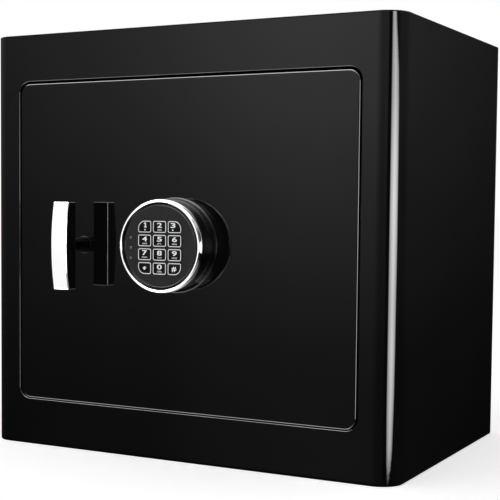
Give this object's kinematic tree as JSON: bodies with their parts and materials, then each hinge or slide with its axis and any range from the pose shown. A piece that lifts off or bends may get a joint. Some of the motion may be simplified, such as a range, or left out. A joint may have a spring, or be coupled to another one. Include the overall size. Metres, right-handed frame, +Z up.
{
  "type": "safe",
  "caption": "Compact black fire safe with an inset hinged door, a round electronic keypad, a quarter-turn bar handle and sliding locking bolts.",
  "frame": {"origin": "centre of the body footprint on the underside, where it rests on the floor", "axes": "+X to the right seen from the front, +Y from the door towards the back, +Z up; the door faces -Y"},
  "size_m": [0.432, 0.3434, 0.406],
  "materials": {
    "gloss_black_enamel": "deep high-gloss black enamel, mirror smooth",
    "satin_black_enamel": "satin black powder coat",
    "grey_enamel": "fine-textured grey powder coat",
    "cast_insulation": "light cast fire insulation, matt",
    "seal_strip": "matt black fire seal strip",
    "mat_felt": "needle felt",
    "plated_steel": "zinc plated",
    "polished_steel": "ground and polished",
    "bush_brass": "turned",
    "bright_chrome": "polished bright chrome",
    "black_metal": "gloss black",
    "cast_zinc": "as cast, tumbled",
    "housing_plastic": "semi-gloss black moulding",
    "face_plastic": "smooth charcoal panel",
    "key_plastic": "gloss black key caps",
    "board_green": "circuit board with solder mask",
    "legend_white": "printed legend and indicator lens",
    "battery_can": "sleeved can",
    "lead_rubber": "smooth sheath"
  },
  "bodies": {
    "cabinet": {"outer_shell": "gloss_black_enamel", "door_frame": "satin_black_enamel", "bolt_keeper": "satin_black_enamel", "inner_liner": "grey_enamel", "body_insulation": "cast_insulation", "intumescent_seal": "seal_strip", "hinge_pin_upper": "black_metal", "hinge_pin_lower": "black_metal", "shelf": "grey_enamel", "shelf_pins": "plated_steel", "floor_mat": "mat_felt"},
    "door": {"door_plate": "gloss_black_enamel", "door_chassis": "satin_black_enamel", "door_rear_cover": "satin_black_enamel", "door_insulation": "cast_insulation", "hinge_bush_upper": "black_metal", "hinge_bush_lower": "black_metal", "keypad_chrome_ring": "bright_chrome", "handle_bush": "black_metal", "handle_bush_nut": "plated_steel", "rear_cover_screws": "plated_steel", "bolt_guide_posts": "plated_steel", "lock_case": "cast_zinc", "lock_cover": "cast_zinc", "lock_motor": "polished_steel", "lock_pivot_pin": "polished_steel", "lock_screws": "plated_steel", "keypad_screws": "plated_steel", "keypad_housing": "housing_plastic", "keypad_face": "face_plastic", "keypad_pcb": "board_green", "led_indicators": "legend_white", "battery_contacts": "bush_brass", "keypad_cable": "lead_rubber"},
    "handle": {"handle_bar": "bright_chrome", "handle_stem": "black_metal", "crank_arm": "plated_steel", "crank_screw": "plated_steel"},
    "boltwork": {"bolt_bar": "plated_steel", "locking_bolts": "polished_steel", "bolt_screws": "plated_steel"},
    "swing_bolt": {"swing_bolt": "polished_steel"},
    "battery_drawer": {"battery_drawer": "housing_plastic", "battery": "battery_can"},
    "key_1": {"key_1": "key_plastic"},
    "key_2": {"key_2": "key_plastic"},
    "key_3": {"key_3": "key_plastic"},
    "key_4": {"key_4": "key_plastic"},
    "key_5": {"key_5": "key_plastic"},
    "key_6": {"key_6": "key_plastic"},
    "key_7": {"key_7": "key_plastic"},
    "key_8": {"key_8": "key_plastic"},
    "key_9": {"key_9": "key_plastic"},
    "key_star": {"key_star": "key_plastic"},
    "key_0": {"key_0": "key_plastic"},
    "key_hash": {"key_hash": "key_plastic"}
  },
  "joints": [
    {"name": "door_hinge", "type": "hinge", "parent": "cabinet", "child": "door", "pos_m": [0.1552, -0.1405, 0.203], "axis": [0, 0, 1], "range_deg": [0, 100]},
    {"name": "handle_turn", "type": "hinge", "parent": "door", "child": "handle", "pos_m": [-0.1033, -0.165, 0.2011], "axis": [0, 1, 0], "range_deg": [0, 90]},
    {"name": "bolt_throw", "type": "slide", "parent": "door", "child": "boltwork", "axis": [-1, 0, 0], "range_m": [0, 0.018]},
    {"name": "lock_swing", "type": "hinge", "parent": "door", "child": "swing_bolt", "pos_m": [-0.052, -0.1165, 0.203], "axis": [0, -1, 0], "range_deg": [0, 80]},
    {"name": "battery_drawer_slide", "type": "slide", "parent": "door", "child": "battery_drawer", "axis": [0, 0, -1], "range_m": [0, 0.03]},
    {"name": "key_1_press", "type": "slide", "parent": "door", "child": "key_1", "axis": [0, 1, 0], "range_m": [0, 0.0008], "stiffness_N_per_m": 1500},
    {"name": "key_2_press", "type": "slide", "parent": "door", "child": "key_2", "axis": [0, 1, 0], "range_m": [0, 0.0008], "stiffness_N_per_m": 1500},
    {"name": "key_3_press", "type": "slide", "parent": "door", "child": "key_3", "axis": [0, 1, 0], "range_m": [0, 0.0008], "stiffness_N_per_m": 1500},
    {"name": "key_4_press", "type": "slide", "parent": "door", "child": "key_4", "axis": [0, 1, 0], "range_m": [0, 0.0008], "stiffness_N_per_m": 1500},
    {"name": "key_5_press", "type": "slide", "parent": "door", "child": "key_5", "axis": [0, 1, 0], "range_m": [0, 0.0008], "stiffness_N_per_m": 1500},
    {"name": "key_6_press", "type": "slide", "parent": "door", "child": "key_6", "axis": [0, 1, 0], "range_m": [0, 0.0008], "stiffness_N_per_m": 1500},
    {"name": "key_7_press", "type": "slide", "parent": "door", "child": "key_7", "axis": [0, 1, 0], "range_m": [0, 0.0008], "stiffness_N_per_m": 1500},
    {"name": "key_8_press", "type": "slide", "parent": "door", "child": "key_8", "axis": [0, 1, 0], "range_m": [0, 0.0008], "stiffness_N_per_m": 1500},
    {"name": "key_9_press", "type": "slide", "parent": "door", "child": "key_9", "axis": [0, 1, 0], "range_m": [0, 0.0008], "stiffness_N_per_m": 1500},
    {"name": "key_star_press", "type": "slide", "parent": "door", "child": "key_star", "axis": [0, 1, 0], "range_m": [0, 0.0008], "stiffness_N_per_m": 1500},
    {"name": "key_0_press", "type": "slide", "parent": "door", "child": "key_0", "axis": [0, 1, 0], "range_m": [0, 0.0008], "stiffness_N_per_m": 1500},
    {"name": "key_hash_press", "type": "slide", "parent": "door", "child": "key_hash", "axis": [0, 1, 0], "range_m": [0, 0.0008], "stiffness_N_per_m": 1500}
  ],
  "couplings": [
    {"joint": "bolt_throw", "follows": "handle_turn", "m_per_rad": 0.011459},
    {"joint": "lock_swing", "follows": "handle_turn", "ratio": 0.8888}
  ]
}
